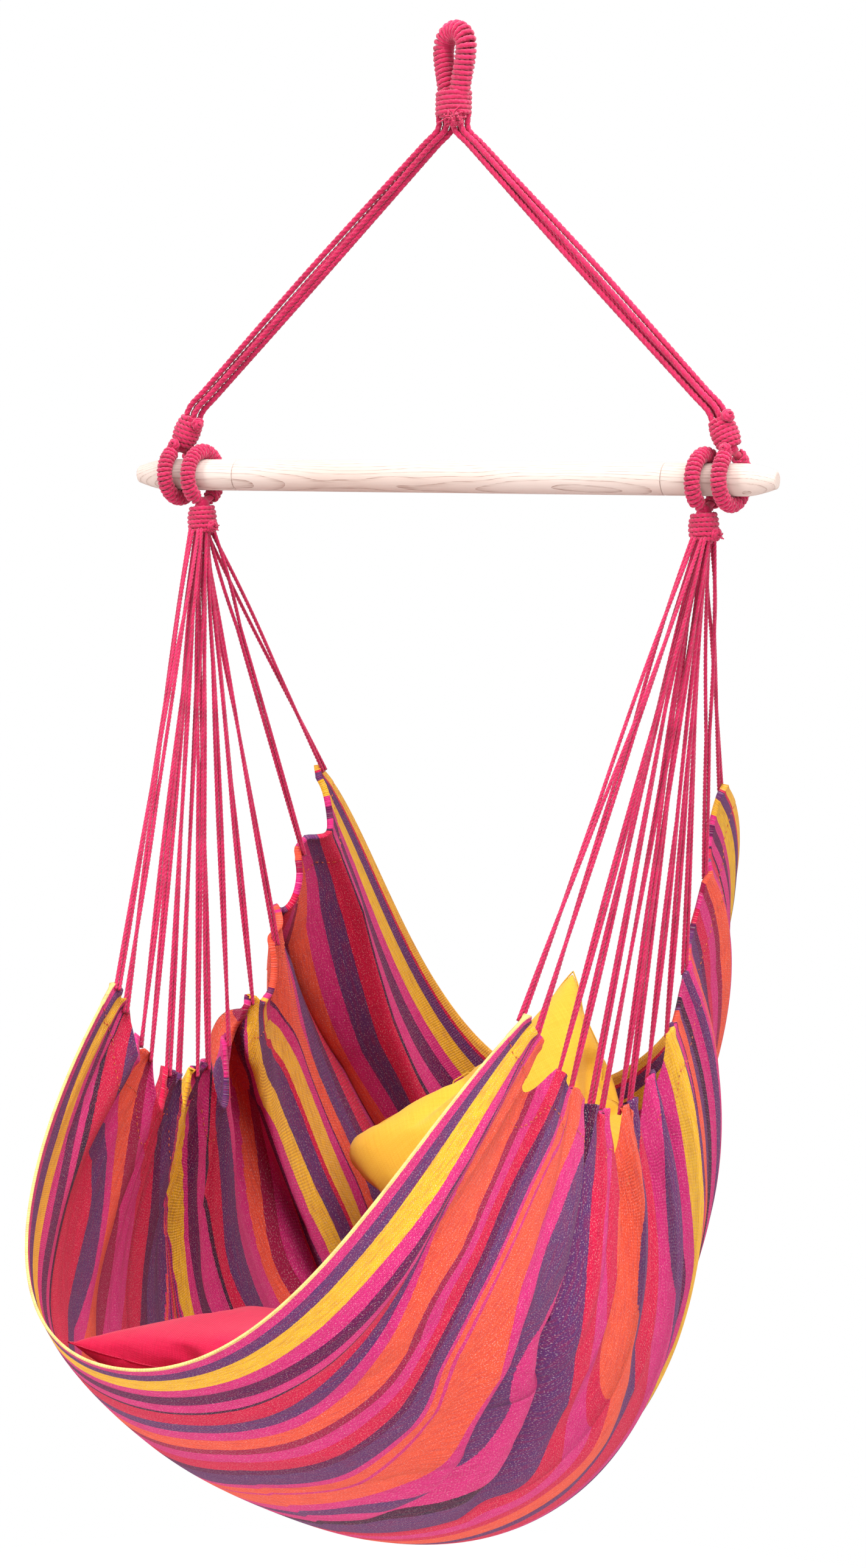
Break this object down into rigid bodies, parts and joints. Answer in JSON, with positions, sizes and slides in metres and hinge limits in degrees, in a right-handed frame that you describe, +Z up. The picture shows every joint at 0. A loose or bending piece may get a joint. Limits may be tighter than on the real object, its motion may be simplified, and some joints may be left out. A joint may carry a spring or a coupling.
{
  "type": "hammock chair",
  "caption": "Striped fabric sling seat with two loose cushions, hung by fans of cords from a wooden spreader bar under a rope yoke with a whipped eye.",
  "frame": {"origin": "inner crown of the eye at the top, where a hook bears; the whole chair hangs below it", "axes": "+Z up, along the hanging line; +X along the spreader bar; -Y towards the open front, where the sitter's legs come out"},
  "size_m": [0.8, 1.1332, 1.7594],
  "materials": {
    "rope": "crimson-pink twisted cotton rope",
    "whipping_cord": "crimson-pink twisted cotton cord, tightly wound",
    "bar_wood": "pale, fine-sanded, clear matt",
    "sling_cloth": "plain weave in pink, red, orange, purple and yellow stripes",
    "seat_cover": "red plain weave",
    "back_cover": "yellow plain weave",
    "filling": "white fibre wadding"
  },
  "bodies": {
    "suspension": {"eye_rope_core": "rope", "eye_whipping": "whipping_cord", "eye_neck_whipping": "whipping_cord", "eye_tail_knot": "rope", "upper_left_loop_core": "rope", "upper_left_loop_whipping": "whipping_cord", "upper_left_neck_whipping": "whipping_cord", "yoke_strand_left_1": "rope", "yoke_strand_left_2": "rope", "yoke_strand_left_3": "rope", "yoke_strand_left_4": "rope", "upper_right_loop_core": "rope", "upper_right_loop_whipping": "whipping_cord", "upper_right_neck_whipping": "whipping_cord", "yoke_strand_right_1": "rope", "yoke_strand_right_2": "rope", "yoke_strand_right_3": "rope", "yoke_strand_right_4": "rope"},
    "bar": {"bar_middle": "bar_wood", "bar_end_left": "bar_wood", "bar_end_right": "bar_wood"},
    "seat": {"sling_cloth": "sling_cloth", "lower_left_loop_core": "rope", "lower_left_loop_whipping": "whipping_cord", "lower_left_neck_whipping": "whipping_cord", "fan_cord_left_01": "rope", "fan_cord_left_02": "rope", "fan_cord_left_03": "rope", "fan_cord_left_04": "rope", "fan_cord_left_05": "rope", "fan_cord_left_06": "rope", "fan_cord_left_07": "rope", "fan_cord_left_08": "rope", "fan_cord_left_09": "rope", "fan_cord_left_10": "rope", "fan_cord_left_11": "rope", "fan_cord_left_12": "rope", "fan_cord_left_13": "rope", "lower_right_loop_core": "rope", "lower_right_loop_whipping": "whipping_cord", "lower_right_neck_whipping": "whipping_cord", "fan_cord_right_01": "rope", "fan_cord_right_02": "rope", "fan_cord_right_03": "rope", "fan_cord_right_04": "rope", "fan_cord_right_05": "rope", "fan_cord_right_06": "rope", "fan_cord_right_07": "rope", "fan_cord_right_08": "rope", "fan_cord_right_09": "rope", "fan_cord_right_10": "rope", "fan_cord_right_11": "rope", "fan_cord_right_12": "rope", "fan_cord_right_13": "rope"},
    "seat_cushion": {"seat_cushion_cover": "seat_cover", "seat_cushion_filling": "filling"},
    "back_cushion": {"back_cushion_cover": "back_cover", "back_cushion_filling": "filling"}
  },
  "joints": [
    {"name": "bar_roll", "type": "hinge", "parent": "suspension", "child": "bar", "pos_m": [0, 0, -0.496], "axis": [1, 0, 0], "continuous": true},
    {"name": "seat_tilt", "type": "hinge", "parent": "suspension", "child": "seat", "pos_m": [0, 0, -0.496], "axis": [1, 0, 0], "range_deg": [-25, 25]},
    {"name": "seat_cushion_lift", "type": "slide", "parent": "seat", "child": "seat_cushion", "axis": [0, -0.1736, 0.9848], "range_m": [0, 0.45]},
    {"name": "back_cushion_lift", "type": "slide", "parent": "seat", "child": "back_cushion", "axis": [0, -0.7071, 0.7071], "range_m": [0, 0.16]}
  ]
}
